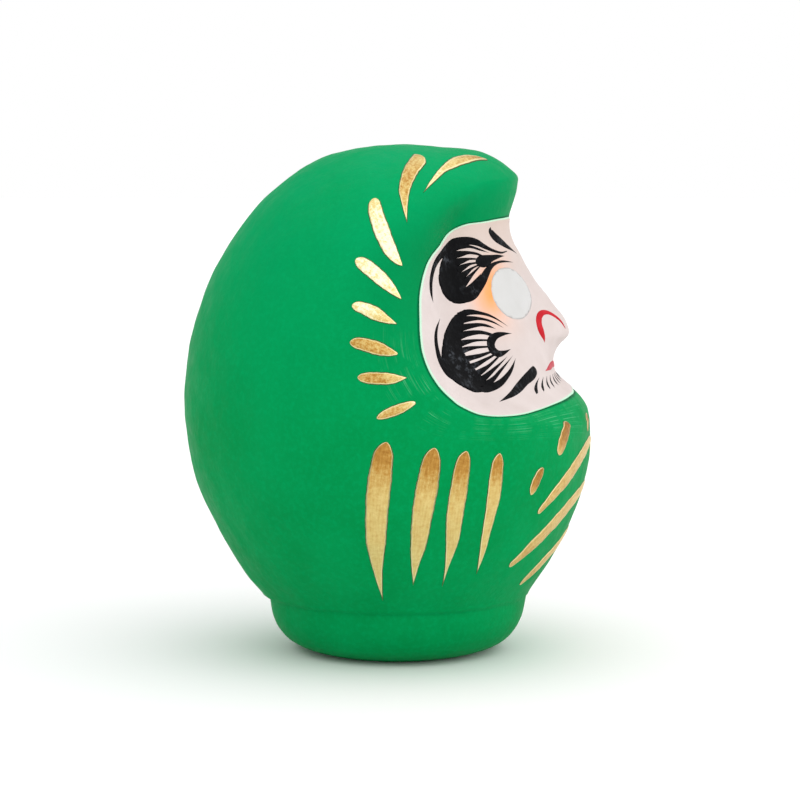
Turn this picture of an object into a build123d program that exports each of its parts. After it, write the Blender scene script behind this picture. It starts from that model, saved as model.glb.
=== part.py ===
"""Papier-mache daruma doll: a hollow paper shell standing on a weighted clay foot.

Millimetres, +Z up. The doll faces -Y and its own right side is -X. The origin is the
middle of the flat underside of the foot.

A place on the doll is given by its azimuth and its height: azimuth 0 is straight ahead
and grows towards the doll's right side, 180 is the middle of the back. All angles are
in degrees. The body is an egg with a recess for the face under a rolled hood.
"""
import os
from math import asin, atan2, cos, degrees, exp, hypot, radians, sin

from build123d import *

# ---------------------------------------------------------------- driving dimensions
TALL = 117.4            # foot underside to crown
CENTRE = 53.4           # height of the point that the egg's radii are measured from
WAIST = 12.4            # height of the joint between shell and foot
WALL = 2.0              # paper shell, measured towards the egg's centre
SEAM_WIDTH = 8.0        # paper strip pasted inside, over the joint of the two half shells
SEAM_PAPER = 0.4
SEAM_GAP = 0.35         # glue between that strip and the shell
WAIST_PAPER = 0.45      # paper strips pasted outside, over the joint with the foot
WAIST_GAP = 0.2         # paste between those strips and the shell
WAIST_STRIP_TOP = 16.6

FOOT_FLAT_R = 17.0      # flat ring that the doll rests on
FOOT_RIM_R = 29.8       # widest place of the foot, close under the shell
SPIGOT_R = 26.4         # plug that enters the mouth of the shell
SPIGOT_TOP = 15.4
STICK_R = 3.0           # blind hole for the stick that holds the doll while it is painted
STICK_DEEP = 11.0

FACE_HALF_ANGLE = 83.8  # half the width of the painted face
FACE_MIDDLE = 79.2      # height where it is widest
FACE_TOP = 100.6
FACE_BOTTOM = 58.6
NOSE_HALF_ANGLE = 14.0

# Distances of the lower and upper side of each coat of paint above the shell.
COAT = (0.20, 0.40)     # white face ground
INK = (0.56, 0.76)      # ink and eye whites, on the ground
GOLD = (0.20, 0.40)     # gold, straight on the green
TIP = 0.12              # half the width of the end of a stroke


# ---------------------------------------------------------------- form of the body
def curve(*points):
    """A smooth curve through (position, value) points, level beyond its two ends."""
    places = [p[0] for p in points]
    values = [p[1] for p in points]
    steps = [b - a for a, b in zip(places, places[1:])]
    rises = [(b - a) / h for a, b, h in zip(values, values[1:], steps)]
    slopes = [rises[0]]
    for k in range(1, len(steps)):
        before, after = steps[k - 1], steps[k]
        slopes.append((rises[k - 1] * after + rises[k] * before) / (before + after))
    slopes.append(rises[-1])

    def value(place):
        place = min(max(place, places[0]), places[-1])
        k = max(i for i in range(len(steps)) if place >= places[i])
        h = steps[k]
        s = (place - places[k]) / h
        start = (2 * s**3 - 3 * s**2 + 1) * values[k] + (s**3 - 2 * s**2 + s) * h * slopes[k]
        end = (3 * s**2 - 2 * s**3) * values[k + 1] + (s**3 - s**2) * h * slopes[k + 1]
        return start + end

    return value


def blend(t):
    """0 below t = 0, 1 above t = 1, and an even S between them."""
    t = min(max(t, 0.0), 1.0)
    return t * t * (3 - 2 * t)


# Radius of the egg from its centre, against the latitude, in three directions.
EGG_FRONT = curve((-66, 52.6), (-58, 50.9), (-36, 47.1), (-14, 45.3), (8, 44.9), (35, 51.0),
                  (60, 61.8), (72, 65.2), (83, 64.1), (90, 64.0))
EGG_BACK = curve((-66, 52.8), (-58, 51.1), (-46, 50.2), (-36, 48.8), (-14, 48.6), (8, 49.8),
                 (35, 53.9), (48, 56.9), (60, 60.2), (75, 63.4), (90, 64.0))
EGG_SIDE = curve((-66, 52.8), (-58, 51.1), (-36, 48.7), (-14, 48.6), (8, 49.2), (35, 53.2),
                 (60, 60.0), (75, 63.2), (90, 64.0))

# Distance of the face's middle line from the doll's axis, against the height: belly,
# chin, mouth, tip of the nose, bridge, brow, and the lip and top of the hood.
PROFILE = curve((54.4, 44.6), (57.2, 44.0), (59.4, 42.4), (61.9, 39.4), (64.4, 36.6), (66.9, 35.9),
                (69.4, 36.2), (71.6, 37.4), (73.7, 39.4), (75.9, 39.0), (81.4, 35.4), (87.4, 30.9),
                (92.4, 28.0), (95.9, 26.2), (98.9, 25.6), (101.4, 25.9), (104.4, 26.8),
                (107.4, 27.5), (110.4, 27.2), (113.4, 24.2))

# Depth of the cheeks and eye hollows below the egg, against the height.
HOLLOW = curve((54.4, 0), (57.4, 1.2), (61.4, 5.5), (67.4, 9.0), (75.4, 11.0), (85.4, 12.0), (93.4, 11.8),
               (99.4, 9.5), (104.4, 5.0), (109.4, 0))
RECESS_LOW, RECESS_HIGH = 54.4, 112.4


def egg_radius(azimuth, latitude):
    """Radius of the egg: front, side and back profiles blended round the azimuth."""
    ahead = cos(radians(azimuth))
    front = max(ahead, 0.0) ** 2
    back = max(-ahead, 0.0) ** 2
    side = 1 - front - back
    return side * EGG_SIDE(latitude) + front * EGG_FRONT(latitude) + back * EGG_BACK(latitude)


def opening(height):
    """Half the width, as an angle, of the opening that the hood leaves for the face."""
    middle, half_angle, up, down = 80.4, 93.0, 32.0, 26.0
    reach = up if height > middle else down
    share = min(abs(height - middle) / reach, 1.0)
    return half_angle * (1 - share**3) ** (1 / 3)


def recess(azimuth, height, outer):
    """How far the face lies inside the egg, whose radius there is outer."""
    if not RECESS_LOW < height < RECESS_HIGH:
        return 0.0
    off_middle = abs((azimuth + 180) % 360 - 180)
    middle = max(outer - PROFILE(height), 0.0) * blend((RECESS_HIGH - height) / 4)
    middle *= blend((height - 53.4) / 2.5)
    nose = exp(-((off_middle / NOSE_HALF_ANGLE) ** 2))
    broad = exp(-((off_middle / 60) ** 2))
    flat = max(blend((height - 89.4) / 10), blend((69.4 - height) / 8))
    share = nose * (1 - flat) + broad * flat
    depth = middle * share + HOLLOW(height) * (1 - share)
    return depth * blend((opening(height) - off_middle) / 27)


def egg_at(azimuth, height, outward=0.0):
    """Distance from the axis to the egg without its recess, moved outward."""
    low, high = -66.0, 90.0
    for _ in range(36):
        latitude = (low + high) / 2
        reach = egg_radius(azimuth, latitude) + outward
        if CENTRE + reach * sin(radians(latitude)) < height:
            low = latitude
        else:
            high = latitude
    return reach * cos(radians(latitude))


def radius(azimuth, height, outward=0.0):
    """Distance from the axis to the body's surface, moved outward by a small distance."""
    depth = recess(azimuth, height, egg_at(azimuth, height))
    return egg_at(azimuth, height, outward) - depth


def place(azimuth, height, outward=0.0):
    """The point of the surface at an azimuth and a height."""
    r = radius(azimuth, height, outward)
    return Vector(-r * sin(radians(azimuth)), -r * cos(radians(azimuth)), height)


# ---------------------------------------------------------------- lofts over the body
def spread(first, last, count):
    """Evenly spaced numbers from first to last."""
    return [first + (last - first) * i / (count - 1) for i in range(count)]


BODY_HEIGHTS = spread(WAIST, 54.4, 9)
FACE_HEIGHTS = spread(56.4, 109.4, 54)
BACK_HEIGHTS = spread(58.4, 109.4, 18)
CROWN_HEIGHTS = [111.0, 112.4, 113.6, 114.6, 115.4, 116.0, 116.5, 116.9, 117.2]
HALF_SPANS = 36          # spans of a half section, 5 degrees each


def across(azimuths, height, outward):
    """A spline round part of the body at one height."""
    shares = [i / (len(azimuths) - 1) for i in range(len(azimuths))]
    return Edge.make_spline([place(a, height, outward) for a in azimuths], parameters=shares)


def half_section(height, outward, middle, past=0.0):
    """Half of the body's section: a spline, closed behind the split plane by past."""
    azimuths = spread(middle - 90, middle + 90, HALF_SPANS + 1)
    outline = across(azimuths, max(height, WAIST), outward)
    if height < WAIST:
        outline = outline.moved(Location((0, 0, height - WAIST)))
    back = Vector(0, past * cos(radians(middle)), 0)
    start, end = outline @ 0, outline @ 1
    if past == 0:
        return Wire([outline, Edge.make_line(end, start)])
    sides = [Edge.make_line(end, end + back), Edge.make_line(end + back, start + back)]
    return Wire([outline] + sides + [Edge.make_line(start + back, start)])


def half_shell(middle):
    """The paper shell on one side of the plane Y = 0; middle 0 is the face, 180 the back."""
    upper = FACE_HEIGHTS if middle == 0 else BACK_HEIGHTS
    heights = BODY_HEIGHTS + upper + CROWN_HEIGHTS
    outer = Solid.make_loft([half_section(z, 0.0, middle) for z in heights])
    hollow_top = TALL - WALL - 0.2
    inside = [WAIST - 3.0] + [z for z in heights if z < hollow_top - 0.4] + [hollow_top]
    inner = Solid.make_loft([half_section(z, -WALL, middle, past=1.0) for z in inside])
    return outer - inner


def film_section(left, right, height, coat, spans):
    """A thin closed strip round part of the body, at one height."""
    low, high = coat
    azimuths = spread(left, right, spans + 1)
    outer = across(azimuths, height, high)
    inner = across(azimuths[::-1], height, low)
    joins = [Edge.make_line(outer @ 1, inner @ 0), Edge.make_line(inner @ 1, outer @ 0)]
    return Wire([outer, joins[0], inner, joins[1]])


# ---------------------------------------------------------------- paper and clay pieces
def waist_strips():
    """Two lengths of paper pasted round the joint of shell and foot, seams at the sides."""
    coat = (WAIST_GAP, WAIST_GAP + WAIST_PAPER)
    reach = 89.0
    strips = []
    for middle in (0, 180):
        sections = [film_section(middle - reach, middle + reach, z, coat, HALF_SPANS)
                    for z in spread(WAIST + 0.3, WAIST_STRIP_TOP, 5)]
        strips.append(Solid.make_loft(sections))
    return Compound(strips)


def seam_point(angle, sideways, depth):
    """A point under the shell near the plane Y = 0; angle 0 is the doll's right side."""
    along = Vector(-cos(radians(angle)), 0, sin(radians(angle)))
    for_width = Vector(0, sideways / 52, 0)
    ray = (along + for_width).normalized()
    azimuth = degrees(atan2(-ray.X, -ray.Y))
    latitude = degrees(asin(ray.Z))
    reach = egg_radius(azimuth, latitude) - depth
    height = CENTRE + reach * ray.Z
    r = reach * cos(radians(latitude)) - recess(azimuth, height, egg_at(azimuth, height))
    flat = hypot(ray.X, ray.Y)
    return Vector(r * ray.X / flat, r * ray.Y / flat, height)


def seam_strip():
    """The paper strip pasted inside along the joint of the half shells, side to side."""
    top, bottom = WALL + SEAM_GAP, WALL + SEAM_GAP + SEAM_PAPER
    half = SEAM_WIDTH / 2
    sections = []
    for angle in spread(-52, 232, 41):
        outer = Edge.make_spline([seam_point(angle, y, top) for y in (-half, -0.3, half)])
        inner = Edge.make_spline([seam_point(angle, y, bottom) for y in (half, -0.3, -half)])
        joins = [Edge.make_line(outer @ 1, inner @ 0), Edge.make_line(inner @ 1, outer @ 0)]
        sections.append(Wire([outer, joins[0], inner, joins[1]]))
    return Solid.make_loft(sections)


def base_weight():
    """The clay foot: a shallow bowl with a plug on top and a stick hole below."""
    with BuildPart() as foot:
        with BuildSketch(Plane.XZ):
            with BuildLine():
                Spline((FOOT_FLAT_R, 0), (22.4, 1.2), (25.2, 2.6), (27.2, 4.5), (28.7, 7.0),
                       (FOOT_RIM_R, 11.2), (29.2, WAIST))
                Polyline((29.2, WAIST), (SPIGOT_R, WAIST), (SPIGOT_R, SPIGOT_TOP),
                         (0, SPIGOT_TOP), (0, STICK_DEEP), (STICK_R, STICK_DEEP),
                         (STICK_R, 0), (FOOT_FLAT_R, 0))
            make_face()
        revolve(axis=Axis.Z)
    return foot.part


# ---------------------------------------------------------------- paint
def face_coat():
    """The white ground of the face, rounded off at both sides like a wide cushion."""
    def half_width(height):
        end, power = (FACE_TOP, 3.4) if height > FACE_MIDDLE else (FACE_BOTTOM, 4.6)
        share = (height - FACE_MIDDLE) / (end - FACE_MIDDLE)
        return FACE_HALF_ANGLE * (1 - share**power) ** (1 / power)

    heights = [FACE_BOTTOM + 0.1, FACE_BOTTOM + 0.4] + spread(59.6, 99.6, 41) + [FACE_TOP - 0.1]
    return Solid.make_loft([film_section(-half_width(z), half_width(z), z, COAT, HALF_SPANS)
                            for z in heights], ruled=True)


def stroke(coat, *stations, steps=4):
    """One stroke of the brush, laid on the body.

    A station is (azimuth, height, half the width in mm). The first and last are tips.
    """
    azimuth, height, half = [curve(*[(i, s[k]) for i, s in enumerate(stations)])
                             for k in range(3)]
    low, high = coat
    count = (len(stations) - 1) * steps
    sections = []
    for i in range(count + 1):
        t = min(max(i / steps, 0.03), len(stations) - 1.03)
        width = max(half(t), TIP)
        before, after = [place(azimuth(t + d), height(t + d), low) for d in (-0.03, 0.03)]
        run = (after - before).normalized()
        r = radius(azimuth(t), height(t))
        arc = radians(azimuth(t + 0.03) - azimuth(t - 0.03)) * r
        rise = height(t + 0.03) - height(t - 0.03)
        turn = degrees(rise / r) / hypot(arc, rise) * width
        lift = arc / hypot(arc, rise) * width
        middle = place(azimuth(t), height(t), low)
        edge = [place(azimuth(t) - turn * k, height(t) + lift * k, low)
                for k in spread(-1, 1, 7)]
        if i in (0, count):
            edge = [point - run * (point - middle).dot(run) for point in edge]
        out = Vector(middle.X, middle.Y, 0).normalized()
        out = (out - run * out.dot(run)).normalized() * (high - low)
        inner = Edge.make_spline(edge)
        outer = Edge.make_spline([point + out for point in edge[::-1]])
        joins = [Edge.make_line(inner @ 1, outer @ 0), Edge.make_line(outer @ 1, inner @ 0)]
        sections.append(Wire([inner, joins[0], outer, joins[1]]))
    return Solid.make_loft(sections, ruled=True)


RIGHT_EYE = [(26.5, 90, 0), (28.5, 89, 4.2), (31, 86.2, 7.3), (32.5, 83.4, 8),
             (33.5, 80.8, 6.6), (34.5, 78.6, 3.6), (35, 77.6, 0)]
RIGHT_BROW = [(31, 93.8, 0), (40, 95, 0.8), (50, 94.6, 3.2), (59, 92, 6.6), (65, 88.4, 7.6),
              (68, 85.2, 5.4), (69, 82.6, 0)]
RIGHT_TICK = [(35, 98.6, 0), (31.5, 96.6, 1.5), (24, 94.6, 1.1), (13, 92.6, 0)]
RIGHT_BEARD = [(62, 80.8, 0), (67, 78.2, 4.2), (68, 73.8, 7.2), (64, 68.8, 6.2), (56, 66.4, 2.6),
               (48, 67, 1.2), (43, 70.4, 0)]
RIGHT_MOUSTACHE = [(31, 66.8, 0), (35, 65.8, 1.4), (42, 63.6, 1.3), (53, 61, 0)]
RIGHT_NOSE = [(4.5, 75, 0), (7, 78, 0.5), (12, 79.2, 0.6), (17, 77.8, 0.6), (18, 74.8, 0.7),
              (16.5, 72.4, 0)]
MOUTH = [(-17, 66, 0), (-8, 66.4, 0.5), (0, 66, 0.6), (8, 66.4, 0.5), (17, 66, 0)]
CHIN_HAIR_AZIMUTHS = [4, 11, 18, 25, 32]

RIGHT_HOOD_DASHES = [
    [(78, 107, 0), (66, 111, 1.1), (48, 113.8, 1), (26, 114.4, 0)],
    [(76, 114, 0), (86, 110.8, 1.6), (87.5, 106.4, 1.4), (86.5, 100, 0)],
    [(99.5, 106, 0), (97.5, 103, 1.7), (93, 97.2, 1.6), (88, 90.8, 0)],
    [(103, 92.2, 0), (99.5, 91.2, 1.1), (94, 88.4, 1.6), (88.5, 84, 0)],
    [(103.5, 82.8, 0), (100, 81.6, 1.1), (95, 79.8, 1.3), (89.5, 78.8, 0)],
    [(103.5, 75, 0), (99.5, 74.6, 1.3), (94, 73.4, 1.3), (89.5, 72.6, 0)],
    [(101, 67.6, 0), (97.5, 67.8, 1.3), (92.5, 67.8, 1.3), (87, 67.6, 0)],
    [(95.5, 59.2, 0), (92.5, 60.2, 1.3), (88.5, 61.8, 1.1), (85, 62.2, 0)],
]

FLANK_AZIMUTHS = [94.5, 83.5, 74, 63]
FLANK_TOPS = [53.8, 52.6, 51.6, 50.4]
FLANK_FOOTS = [16.8, 20.6, 20.2, 23]
FLANK_HALF_WIDTHS = [3.0, 2.8, 2.4, 1.9]


def flank_strokes():
    """Four long upright strokes down the right flank, each one broad above its middle."""
    strokes = []
    sizes = zip(FLANK_AZIMUTHS, FLANK_TOPS, FLANK_FOOTS, FLANK_HALF_WIDTHS)
    for azimuth, top, foot, half in sizes:
        fall = top - foot
        strokes.append(stroke(GOLD, (azimuth - 1, top, 0), (azimuth - 0.5, top - fall * 0.12, half),
                              (azimuth, top - fall * 0.45, half), (azimuth, top - fall * 0.8, half / 2),
                              (azimuth + 0.5, foot, 0)))
    return Compound(strokes)


def hood_dashes():
    """Eight short strokes on the hood, in an arc round the right side of the face."""
    return Compound([stroke(GOLD, *dash) for dash in RIGHT_HOOD_DASHES])


def chin_hairs():
    """Fine strokes of ink from the lower lip down over the chin, on both sides."""
    hairs = []
    for azimuth in CHIN_HAIR_AZIMUTHS:
        for side in (-1, 1):
            hairs.append(stroke(INK, (side * azimuth, 64.8, 0), (side * azimuth * 1.12, 63.4, 0.35),
                                (side * azimuth * 1.25, 61.6, 0)))
    return Compound(hairs)


def belly_sprig():
    """A gold sprig on the belly: a stem with pairs of leaves and a bud on top."""
    strokes = [stroke(GOLD, (0, 47.4, 0), (1.5, 38, 1.0), (-1, 26, 1.3), (0, 18.6, 0)),
               stroke(GOLD, (0, 53, 0), (0, 51, 2.4), (0, 48.8, 0))]
    for height, reach, rise, half in ((42, 26, 7, 2.2), (32, 38, 10, 2.8), (23, 30, 4, 2.2)):
        for side in (-1, 1):
            strokes.append(stroke(GOLD, (side * 4, height - 4, 0),
                                  (side * reach * 0.4, height, half),
                                  (side * reach * 0.75, height + rise * 0.6, half * 0.8),
                                  (side * reach, height + rise, 0)))
    return Compound(strokes)


# ---------------------------------------------------------------- all the nodes
def save(name, shape):
    export_step(shape, os.path.join("parts", name + ".step"))


def save_pair(name, shape):
    """The doll's right side as drawn, and its mirror image on the left."""
    save(name + "_right", shape)
    save(name + "_left", mirror(shape, about=Plane.YZ))


os.makedirs("parts", exist_ok=True)
save("shell_front", half_shell(0))
save("shell_back", half_shell(180))
save("seam_strip", seam_strip())
save("waist_strips", waist_strips())
save("base_weight", base_weight())
save("face_coat", face_coat())
save_pair("eye", stroke(INK, *RIGHT_EYE))
save_pair("brow", stroke(INK, *RIGHT_BROW))
save_pair("brow_tick", stroke(INK, *RIGHT_TICK))
save_pair("cheek_beard", stroke(INK, *RIGHT_BEARD))
save_pair("moustache", stroke(INK, *RIGHT_MOUSTACHE))
save_pair("nose_line", stroke(INK, *RIGHT_NOSE))
save("mouth", stroke(INK, *MOUTH))
save("chin_hairs", chin_hairs())
save_pair("hood_dashes", hood_dashes())
save_pair("flank_strokes", flank_strokes())
save("belly_sprig", belly_sprig())
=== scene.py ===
"""Looks of the papier-mache daruma doll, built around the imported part.

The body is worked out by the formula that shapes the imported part: an egg given by three
profiles, less a recess for the face under the hood. The paper's waviness is added to it,
and every stroke of paint is a thin mesh laid on that wavy surface.

Lengths are millimetres until a mesh is made, and metres in the mesh. A place on the doll
is (azimuth, height): azimuth 0 is ahead (-Y) and grows towards the doll's right side (-X),
in degrees. A brush station is (azimuth, height, half the width of the stroke).
"""

import bmesh
import bpy
import numpy as np
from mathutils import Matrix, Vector, noise
from mathutils.geometry import delaunay_2d_cdt


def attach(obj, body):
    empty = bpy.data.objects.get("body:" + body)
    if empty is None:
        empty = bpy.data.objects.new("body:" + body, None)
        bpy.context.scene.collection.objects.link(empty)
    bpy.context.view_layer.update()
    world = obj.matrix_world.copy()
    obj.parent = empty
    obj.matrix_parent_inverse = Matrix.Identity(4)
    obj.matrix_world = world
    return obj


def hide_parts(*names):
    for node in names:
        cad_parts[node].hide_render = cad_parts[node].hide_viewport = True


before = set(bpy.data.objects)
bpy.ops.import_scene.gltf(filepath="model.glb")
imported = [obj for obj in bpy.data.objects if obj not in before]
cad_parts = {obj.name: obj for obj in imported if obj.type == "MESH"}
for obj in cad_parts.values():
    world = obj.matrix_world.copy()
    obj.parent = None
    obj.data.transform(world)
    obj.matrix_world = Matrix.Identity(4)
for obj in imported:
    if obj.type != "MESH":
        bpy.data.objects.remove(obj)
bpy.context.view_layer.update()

MM = 0.001
CENTRE = 53.4           # height that the egg's radii are measured from
WAIST = 12.4            # height of the joint between shell and foot
WALL = 2.0              # paper shell
FACE_HALF_ANGLE = 83.8
FACE_MIDDLE = 79.2
FACE_HALF_HEIGHT = 21.0
NOSE_HALF_ANGLE = 14.0
BROAD_HALF_ANGLE = 60.0     # spread of the profile above and below the nose
RIM_ANGLE = 27.0            # angle over which the recess reaches its depth
RECESS_LOW, RECESS_HIGH = 54.4, 112.4
OPENING_MIDDLE = 80.4       # height where the opening under the hood is widest
OPENING_ABOVE, OPENING_BELOW = 32.0, 26.0
OPENING_HALF_ANGLE = 93.0
BODY_COLUMNS = 480
FOOT_COLUMNS = 288
FAR_FROM_FACE = 50.0        # keeps the brush marks, the painted hood shade and the painted shade line round the face off the pieces below
EDGE_DIP = 0.05             # how far the edge of a coat of paint dips towards the paper


# ---------------------------------------------------------------- form of the body
def curve(*points):
    """A smooth curve through (position, value) points, level beyond its two ends."""
    x, y = np.array(points, float).T
    steps = np.diff(x)
    rises = np.diff(y) / steps
    slopes = np.empty_like(y)
    slopes[1:-1] = (rises[:-1] * steps[1:] + rises[1:] * steps[:-1]) / (steps[:-1] + steps[1:])
    slopes[0], slopes[-1] = rises[0], rises[-1]

    def value(at):
        at = np.clip(np.asarray(at, float), x[0], x[-1])
        k = np.clip(np.searchsorted(x, at, side="right") - 1, 0, len(steps) - 1)
        h = steps[k]
        s = (at - x[k]) / h
        start = (2 * s**3 - 3 * s**2 + 1) * y[k] + (s**3 - 2 * s**2 + s) * h * slopes[k]
        return start + (3 * s**2 - 2 * s**3) * y[k + 1] + (s**3 - s**2) * h * slopes[k + 1]

    return value


def blend(t):
    """0 below t = 0, 1 above t = 1, and an even S between them."""
    t = np.clip(t, 0.0, 1.0)
    return t * t * (3 - 2 * t)


EGG_FRONT = curve((-66, 52.6), (-58, 50.9), (-36, 47.1), (-14, 45.3), (8, 44.9), (35, 51.0),
                  (60, 61.8), (72, 65.2), (83, 64.1), (90, 64.0))
EGG_BACK = curve((-66, 52.8), (-58, 51.1), (-46, 50.2), (-36, 48.8), (-14, 48.6), (8, 49.8),
                 (35, 53.9), (48, 56.9), (60, 60.2), (75, 63.4), (90, 64.0))
EGG_SIDE = curve((-66, 52.8), (-58, 51.1), (-36, 48.7), (-14, 48.6), (8, 49.2), (35, 53.2),
                 (60, 60.0), (75, 63.2), (90, 64.0))
PROFILE = curve((54.4, 44.6), (57.2, 44.0), (59.4, 42.4), (61.9, 39.4), (64.4, 36.6), (66.9, 35.9),
                (69.4, 36.2), (71.6, 37.4), (73.7, 39.4), (75.9, 39.0), (81.4, 35.4), (87.4, 30.9),
                (92.4, 28.0), (95.9, 26.2), (98.9, 25.6), (101.4, 25.9), (104.4, 26.8),
                (107.4, 27.5), (110.4, 27.2), (113.4, 24.2))
HOLLOW = curve((54.4, 0), (57.4, 1.2), (61.4, 5.5), (67.4, 9.0), (75.4, 11.0), (85.4, 12.0),
               (93.4, 11.8), (99.4, 9.5), (104.4, 5.0), (109.4, 0))


# Reach of the face's outline against its bearing from the middle of the face, in degrees up.
FACE_EDGE = curve((-90, 0.876), (-75, 0.935), (-65, 1.045), (-60, 1.13), (-55, 1.205), (-50, 1.25),
                  (-45, 1.23), (-40, 1.19), (-30, 1.11), (-20, 1.05), (-10, 1.012), (0, 0.997),
                  (10, 1.01), (18, 1.037), (26, 1.075), (34, 1.122), (42, 1.15), (50, 1.175),
                  (56, 1.168), (63, 1.115), (73, 1.068), (90, 1.024))


def egg_radius(azimuth, latitude):
    """Radius of the egg: front, side and back profiles blended round the azimuth."""
    ahead = np.cos(np.radians(azimuth))
    front = np.clip(ahead, 0, 1) ** 2
    back = np.clip(-ahead, 0, 1) ** 2
    side = 1 - front - back
    return side * EGG_SIDE(latitude) + front * EGG_FRONT(latitude) + back * EGG_BACK(latitude)


def opening(height):
    """Half the width, as an angle, of the opening that the hood leaves for the face."""
    reach = np.where(height > OPENING_MIDDLE, OPENING_ABOVE, OPENING_BELOW)
    share = np.abs(height - OPENING_MIDDLE) / reach
    return OPENING_HALF_ANGLE * (1 - np.clip(share, 0, 1) ** 3) ** (1 / 3)


def recess(azimuth, height, outer):
    """How far the face lies inside the egg, whose radius there is outer."""
    inside = (height > RECESS_LOW) & (height < RECESS_HIGH)
    off_middle = np.abs((azimuth + 180) % 360 - 180)
    middle = np.clip(outer - PROFILE(height), 0, None) * blend((RECESS_HIGH - height) / 4)
    middle = middle * blend((height - 53.4) / 2.5)
    nose = np.exp(-((off_middle / NOSE_HALF_ANGLE) ** 2))
    broad = np.exp(-((off_middle / BROAD_HALF_ANGLE) ** 2))
    flat = np.maximum(blend((height - 89.4) / 10), blend((69.4 - height) / 8))
    share = nose * (1 - flat) + broad * flat
    depth = middle * share + HOLLOW(height) * (1 - share)
    return np.where(inside, depth, 0) * blend((opening(height) - off_middle) / RIM_ANGLE)


def latitude_at(azimuth, height, outward=0.0):
    """Latitude at which the egg, moved outward, reaches a height."""
    low = np.full(np.shape(azimuth), -66.0)
    high = np.full(np.shape(azimuth), 90.0)
    for _ in range(34):
        middle = (low + high) / 2
        reach = egg_radius(azimuth, middle) + outward
        below = CENTRE + reach * np.sin(np.radians(middle)) < height
        low = np.where(below, middle, low)
        high = np.where(below, high, middle)
    return (low + high) / 2


def form(azimuth, latitude, outward=0.0):
    """Points of the smooth body, or of the body moved outward, without the waviness."""
    reach = egg_radius(azimuth, latitude) + outward
    height = CENTRE + reach * np.sin(np.radians(latitude))
    r = reach * np.cos(np.radians(latitude))
    outer = r
    if outward:
        at = latitude_at(azimuth, height)
        outer = egg_radius(azimuth, at) * np.cos(np.radians(at))
    r = r - recess(azimuth, height, outer)
    turn = np.radians(azimuth)
    return np.stack([-r * np.sin(turn), -r * np.cos(turn), height], -1)


def waviness(points):
    """Lift of the moulded paper at each point: broad dents and a finer unevenness."""
    lift = np.empty(len(points))
    for i, p in enumerate(points):
        p = Vector(p)
        broad = noise.noise(p / 11.0 + Vector((3.1, 7.7, 1.3)))
        lift[i] = 0.26 * broad + 0.12 * noise.noise(p / 4.2) + 0.03 * noise.noise(p / 1.6)
    return lift


def skin(azimuth, latitude, lift=0.0):
    """Points of the wavy body, moved out by lift along the surface's normal."""
    shape = np.shape(azimuth)
    azimuth, latitude = np.ravel(azimuth), np.ravel(latitude)
    step = 0.05
    middle = form(azimuth, latitude)
    round_it = form(azimuth + step, latitude) - form(azimuth - step, latitude)
    down = form(azimuth, latitude - step) - form(azimuth, np.minimum(latitude + step, 90))
    normal = np.cross(round_it, down)
    size = np.linalg.norm(normal, axis=1, keepdims=True)
    normal = np.where(size > 1e-9, normal / np.maximum(size, 1e-9), (0, 0, 1))
    outward = np.sum(normal * (middle - (0, 0, CENTRE)), axis=1, keepdims=True)
    normal = np.where(outward < 0, -normal, normal)
    points = middle + normal * (waviness(middle) + np.ravel(lift))[:, None]
    return points.reshape(shape + (3,))


def laid(azimuth, height, lift):
    """Points of the wavy body at azimuths and heights, moved out by lift."""
    return skin(azimuth, latitude_at(azimuth, height), lift)


def radius_at(azimuth, height):
    p = form(azimuth, latitude_at(azimuth, height))
    return np.hypot(p[..., 0], p[..., 1])


# ---------------------------------------------------------------- mesh helpers
def piece(name, points, faces, node_names, material, layers=()):
    """Makes one closed, smooth piece; layers are (name, two values for each point)."""
    mesh = bpy.data.meshes.new(name)
    mesh.from_pydata((np.asarray(points) * MM).tolist(), [], faces)
    loops = np.empty(len(mesh.loops), int)
    mesh.loops.foreach_get("vertex_index", loops)
    for layer_name, values in layers:
        layer = mesh.uv_layers.new(name=layer_name)
        layer.data.foreach_set("uv", np.asarray(values, float)[loops].ravel())
    shape = bmesh.new()
    shape.from_mesh(mesh)
    bmesh.ops.remove_doubles(shape, verts=shape.verts, dist=2e-6)
    bmesh.ops.dissolve_degenerate(shape, edges=shape.edges, dist=1e-6)
    bmesh.ops.recalc_face_normals(shape, faces=shape.faces)
    shape.to_mesh(mesh)
    shape.free()
    mesh.shade_smooth()
    mesh.materials.append(material)
    obj = bpy.data.objects.new(name, mesh)
    bpy.context.scene.collection.objects.link(obj)
    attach(obj, "root")
    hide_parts(*node_names)
    return obj


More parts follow.
